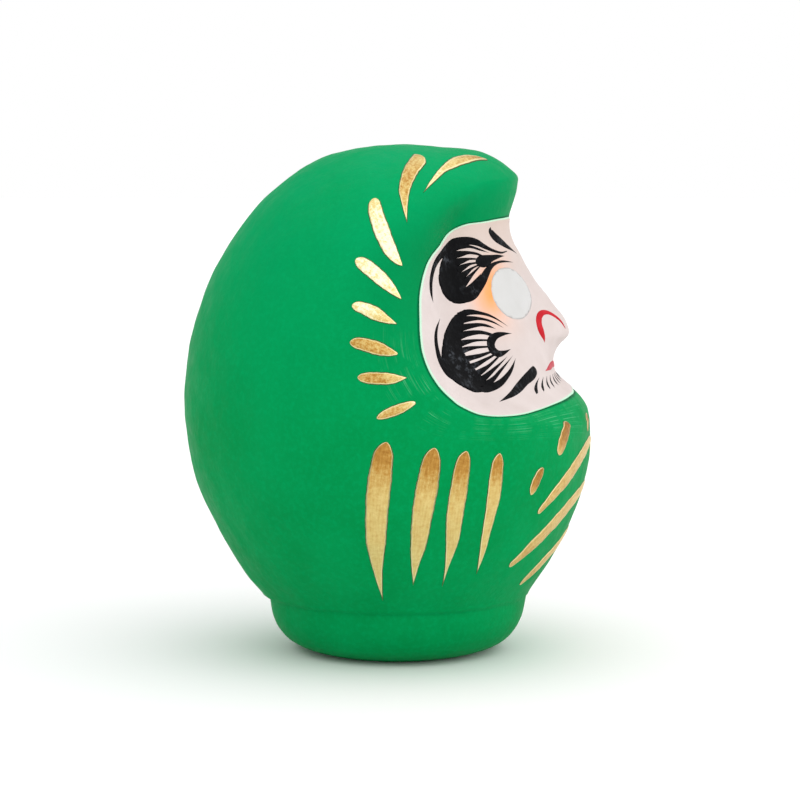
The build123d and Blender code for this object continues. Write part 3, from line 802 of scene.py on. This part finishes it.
BEARD_MASS = [(62.4, 81.1), (65, 80.7), (69, 79.6), (72.6, 77.9), (74.8, 76.1), (76.2, 73.8), (77, 71.2),
              (76.6, 68.8), (75, 66.8), (72.4, 65.2), (69, 64), (66, 63.4), (62.6, 63.3), (60.6, 63.9),
              (60.2, 65), (61, 66.4), (62.4, 67.5), (64.4, 69), (66, 71), (66.8, 73), (66.2, 75.2),
              (64.8, 77.2), (63.2, 79), (62, 80.2)]
BEARD_OUTER = [(76, 79.4, 0), (77.8, 77.3, 0.38), (78.4, 75, 0.5), (78, 72.4, 0.6), (76.9, 69.8, 0.75),
               (74.8, 67.6, 0.8), (71.6, 66.2, 0.6)]
BEARD_HAIRS = [
    [(66.4, 79.7, 0.7), (61.3, 80.4, 0.7), (55.8, 80.1, 0.42), (49.8, 79.1, 0.3), (42.2, 76.8, 0)],
    [(66, 78.7, 0.9), (61.6, 79, 0.66), (56.2, 78.9, 0.36), (50.5, 78, 0.26), (45.5, 76.6, 0)],
    [(66.6, 77, 0.9), (62.4, 77.4, 0.66), (57, 77.6, 0.42), (53.2, 77.2, 0.3), (49.8, 76.5, 0)],
    [(68, 75.2, 0.9), (63.8, 75.8, 0.7), (58.8, 76, 0.5), (55, 75.7, 0.42), (51, 75, 0.4)],
    [(69, 73.5, 0.9), (65, 74, 0.6), (60.5, 74.3, 0.32), (54.6, 74.2, 0.22)],
    [(69, 71.9, 0.9), (65, 72.5, 0.6), (60.5, 72.8, 0.34), (54.6, 72.8, 0.22)],
    [(68, 70.1, 0.9), (64, 70.6, 0.62), (60, 71, 0.46), (54.6, 71.7, 0.24)],
    [(66.8, 68.3, 0.95), (63, 69, 0.66), (59, 69.9, 0.44), (53.6, 71, 0.24)],
    [(64.6, 66.7, 0.95), (61, 67.7, 0.66), (57.4, 68.7, 0.40), (51.6, 70.6, 0.24)],
    [(62.6, 65.5, 0.95), (58.8, 66.8, 0.62), (54.6, 68.2, 0.38), (47.2, 70.4, 0)],
    [(60.4, 64.6, 0.95), (56.4, 66, 0.56), (52, 67.8, 0.34), (44.2, 70.4, 0)],
]
BEARD_SWEEP = [(69.5, 66.9, 1.2), (63.8, 64.7, 1.25), (59.5, 64, 0.95), (54.4, 64.8, 0.85),
               (49.6, 66.5, 0.62), (46, 68.1, 0.36), (42.8, 69.8, 0)]
BEARD_BUD = [(41.2, 75.2, 0), (46, 75.3, 0.4), (50.5, 75, 0.8), (53.6, 73.8, 1.25), (53.8, 72.2, 1.25),
             (51.6, 71.2, 0.9), (48.4, 71.3, 0.5), (44.2, 71.9, 0)]
MOUSTACHE = [(31.6, 67, 1.0), (35.2, 66.1, 1.35), (40.6, 65, 1.22), (45.4, 63.7, 1.02), (50, 62.5, 0.66),
             (54.6, 61.6, 0.3), (58.8, 61.1, 0)]
NOSE_LINE = [(4.4, 75, 0.15), (6, 77.2, 0.4), (8.8, 78.7, 0.5), (12, 79, 0.6), (15, 78.3, 0.78),
             (16.9, 76.8, 1.02), (17.1, 74.8, 1.1), (15.6, 72.3, 0)]
MOUTH = [(-23, 66.1, 0), (-15, 66.6, 0.65), (-7, 67, 0.8), (0, 66.6, 0.7), (7, 67, 0.8),
         (15, 66.6, 0.65), (23, 66.1, 0)]


def draw_beard(film, mirrored):
    film.patch(BEARD_MASS, mirrored=mirrored)
    for stations in [BEARD_OUTER, BEARD_SWEEP, BEARD_BUD] + BEARD_HAIRS:
        film.stroke(*stations, mirrored=mirrored)


def draw_one(stations):
    return lambda film, mirrored: film.stroke(*stations, blunt=(0.6, 0), mirrored=mirrored)


def chin_hairs():
    """Fine hairs fanned out below the mouth, the outermost pair the thickest."""
    film = Film(0.28, 0.10)
    for k in range(8):
        start, end = 31 - 4 * k, (31 - 4 * k) * 1.26
        half = 0.45 if k == 0 else 0.34
        top, bottom = 65.0 - 0.02 * k, 61.8 + 0.2 * k
        for mirrored in (False, True):
            film.stroke((start, top, 0), ((start + end) / 2, (top + bottom) / 2 + 0.2, half * 0.7),
                        (end * 0.97, bottom + 0.6, half), (end, bottom, 0), per_station=5, across=5,
                        mirrored=mirrored)
    return film.finish("chin_hairs", ("chin_hairs",), INK)


# ---------------------------------------------------------------- gold
HOOD_DASHES = [
    [(78.6, 106.7, 0), (73, 109, 0.4), (64, 111.6, 0.62), (52, 113.3, 0.85), (40, 114.1, 0.8),
     (31, 114.3, 0.6), (23, 114, 0.3)],
    [(86.5, 100.3, 0), (87, 104.5, 0.8), (86.5, 108, 1.4), (82.5, 111.5, 1.55), (76, 113.6, 1.4),
     (69.6, 114.7, 0.9)],
    [(99.8, 105.4, 1.2), (98.6, 103, 1.6), (95.8, 99.2, 1.8), (92.6, 95, 1.6), (90.2, 92.5, 1.0),
     (88.5, 91.2, 0.2)],
    [(103.2, 92.5, 1.0), (100, 91.3, 1.5), (96, 89.2, 1.6), (92.6, 87, 1.3), (90.4, 85.3, 0.7),
     (88.9, 84.1, 0.15)],
    [(102.8, 82.8, 0.9), (99.6, 82.3, 1.35), (96, 81.1, 1.5), (93, 79.9, 0.95), (90.1, 78.9, 0.1)],
    [(102.6, 75, 0.9), (99.6, 74.7, 1.4), (95.6, 73.9, 1.55), (92.4, 73.1, 1.1), (89.9, 72.6, 0.3)],
    [(100.2, 67.6, 0.8), (97.2, 67.5, 1.3), (93.4, 67.4, 1.4), (90.4, 67.4, 1.0), (87.5, 67.6, 0.1)],
    [(95.2, 58.9, 0.6), (92.6, 59.9, 1.1), (89, 61.1, 1.15), (86.8, 61.9, 0.8), (85.4, 62.3, 0.4)],
]
# Painted reflection along each hood dash, from end to end: high values for the pale parts that catch the
# light, low ones for the browner parts.
DASH_PAINTED_REFLECTION = [(0.7, 0.65, 0.5, 0.3, 0.2), (0.65, 0.35, 0.3, 0.4, 0.45), (0.55, 0.8, 0.9, 0.95, 0.9, 0.4),
              (0.75, 0.9, 0.9, 0.8, 0.3), (0.75, 0.85, 0.55, 0.7), (0.25, 0.3, 0.3, 0.35),
              (0.3, 0.25, 0.45, 0.7), (0.25, 0.3, 0.5, 0.95)]
FLANK_STROKES = [
    [(92.7, 53.8, 1.5), (93.6, 50.6, 2.25), (94.6, 45, 2.65), (95.5, 38.5, 2.55), (96.2, 31, 2.2),
     (96.3, 24.5, 1.15), (95.5, 16.8, 0)],
    [(80.5, 52.5, 1.4), (81.3, 49.4, 2.1), (82.2, 44, 2.5), (83.2, 38, 2.35), (83.8, 30.8, 1.85),
     (84.4, 26, 1.0), (84.6, 20.7, 0)],
    [(72.1, 51.6, 1.3), (72.9, 48.6, 1.85), (73.6, 43, 2.1), (74.1, 36.8, 2.0), (73.8, 30.6, 1.45),
     (74.1, 25.4, 0.55), (74.2, 20.2, 0)],
    [(62.4, 50.7, 1.2), (62.9, 47.6, 1.65), (63.1, 42, 1.8), (63.3, 35, 1.35), (63, 28.6, 0.85),
     (62.5, 22.8, 0)],
]


def draw_dashes(film, mirrored):
    for k, (stations, painted_light_tone) in enumerate(zip(HOOD_DASHES, DASH_PAINTED_REFLECTION)):
        film.stroke(*stations, painted_light_tone=painted_light_tone, blunt=(0, 1.2) if k < 2 else (1.2, 0.3), waver=0.02,
                    mirrored=mirrored)


def draw_flank(film, mirrored):
    for stations in FLANK_STROKES:
        # Painted reflection: the gold is darker at the top of each stroke and paler below.
        film.stroke(*stations, painted_light_tone=(0.1, 0.15, 0.45, 0.5, 0.55, 0.6), blunt=(2.6, 0), waver=0.015,
                    mirrored=mirrored)


def belly_sprig():
    """A gold sprig: a stem, three pairs of curved fronds, and dabs for buds."""
    film = Film(0.05, 0.14)
    # Painted reflection along each stroke: the stem is pale, the fronds middling, and the dabs darkest
    # where they start.
    film.stroke((0, 51, 1.0), (1, 44, 1.5), (-1, 34, 1.6), (0.5, 25, 1.7), (0, 17.4, 1.1),
                painted_light_tone=(0.7, 0.9), blunt=(1, 1), waver=0.03)
    fronds = [
        [(2, 49.5, 0.5), (12, 49.2, 1.5), (24, 46.2, 2.0), (36, 41.2, 1.7), (45, 36, 0.7)],
        [(1, 39.5, 0.5), (14, 38.6, 1.6), (28, 34.6, 2.1), (40, 29, 1.9), (49, 23.6, 0.8)],
        [(1, 29, 0.5), (10, 28, 1.5), (20, 25, 1.8), (29, 21.2, 1.6), (35, 18, 0.7)],
    ]
    dabs = [[(33.2, 55.4, 1.2), (35.4, 53.8, 1.9), (37.6, 51.2, 2.0), (39.4, 48.8, 1.0)],
            [(46, 46.4, 0.9), (47.4, 44.8, 1.4), (49, 42.4, 1.4), (50, 40.6, 0.7)],
            [(11.6, 56, 0.9), (13.2, 54.8, 1.3), (14.4, 53.4, 1.2), (15, 52.2, 0.7)]]
    for mirrored in (False, True):
        for stations in fronds:
            film.stroke(*stations, painted_light_tone=(0.5, 0.4, 0.35), blunt=(0, 1), waver=0.03, mirrored=mirrored)
        for stations in dabs:
            film.stroke(*stations, painted_light_tone=(0.0, 0.1, 0.4), blunt=(1.2, 0.8), waver=0.03, mirrored=mirrored)
    return film.finish("belly_sprig", ("belly_sprig",), GOLD)


# ---------------------------------------------------------------- studio
def studio():
    """Pale floor under an even white sky, with a high soft light and a weaker one ahead."""
    world = bpy.data.worlds.new("studio")
    bpy.context.scene.world = world
    world.use_nodes = True
    tree = world.node_tree
    place = tree.nodes.new("ShaderNodeTexCoord")
    split = tree.nodes.new("ShaderNodeSeparateXYZ")
    level = tree.nodes.new("ShaderNodeValToRGB")
    tree.links.new(place.outputs["Generated"], split.inputs[0])
    tree.links.new(split.outputs[2], level.inputs["Fac"])
    tree.links.new(level.outputs["Color"], tree.nodes["Background"].inputs[0])
    for element, (height, grey) in zip(level.color_ramp.elements, ((0.12, 1.0), (0.5, 0.42))):
        element.position, element.color = height, (grey, grey, grey, 1)
    floor = bpy.data.meshes.new("floor")
    reach = 6.0
    floor.from_pydata([(-reach, -reach, 0), (reach, -reach, 0), (reach, reach, 0), (-reach, reach, 0)],
                      [], [(0, 1, 2, 3)])
    pale = Finish("pale_floor", Roughness=0.9)
    pale.shader.inputs["Specular IOR Level"].default_value = 0.0
    pale.to("Base Color", pale.ramp(pale.noise(6, 2), (0.3, 0.92), (0.7, 0.94)))
    floor.materials.append(pale.material)
    ground = bpy.data.objects.new("floor", floor)
    bpy.context.scene.collection.objects.link(ground)
    lamps = (("sky", (-0.2, -0.15, 1.0), 2.3, 2.2), ("front", (-0.6, -1.0, 0.5), 0.35, 1.0))
    for name, at, power, spread in lamps:
        light = bpy.data.lights.new(name, "SUN")
        light.energy, light.angle = power, spread
        lamp = bpy.data.objects.new(name, light)
        lamp.rotation_euler = (-Vector(at)).to_track_quat("-Z", "Y").to_euler()
        bpy.context.scene.collection.objects.link(lamp)


def camera():
    """The doll's right side, seen a little from above."""
    lens = bpy.data.cameras.new("camera")
    lens.lens, lens.sensor_width = 116.55, 36.0
    lens.clip_start = 0.02
    made = bpy.data.objects.new("camera", lens)
    made.location = (-0.600, -0.00058, 0.1154)
    pitch = 0.095
    ahead = Vector((np.cos(pitch), 0, -np.sin(pitch)))
    made.rotation_euler = ahead.to_track_quat("-Z", "Y").to_euler()
    bpy.context.scene.collection.objects.link(made)
    bpy.context.scene.camera = made


studio()
camera()
bpy.context.scene.view_settings.view_transform = "Standard"
paper_body()
clay_foot()
waist_paper()
face_ground()
both_sides("eye", "eye", EYE, draw_eye, 0.26, 0.14)
both_sides("brow", "brow", INK, draw_brow, 0.26, 0.12)
both_sides("brow_tick", "brow_tick", INK, draw_one(TICK), 0.26, 0.12)
both_sides("cheek_beard", "cheek_beard", INK, draw_beard, 0.26, 0.12)
both_sides("moustache", "moustache", INK, draw_one(MOUSTACHE), 0.26, 0.12)
both_sides("nose_line", "nose_line", NOSE_RED, draw_one(NOSE_LINE), 0.26, 0.12)
mouth = Film(0.26, 0.12)
mouth.stroke(*MOUTH)
mouth.finish("mouth", ("mouth",), MOUTH_RED)
chin_hairs()
both_sides("hood_dashes", "hood_dashes", THIN_GOLD, draw_dashes, 0.05, 0.14)
both_sides("flank_strokes", "flank_strokes", GOLD, draw_flank, 0.05, 0.14)
belly_sprig()
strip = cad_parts["seam_strip"]
for material_slot in strip.material_slots:
    material_slot.material = PAPER
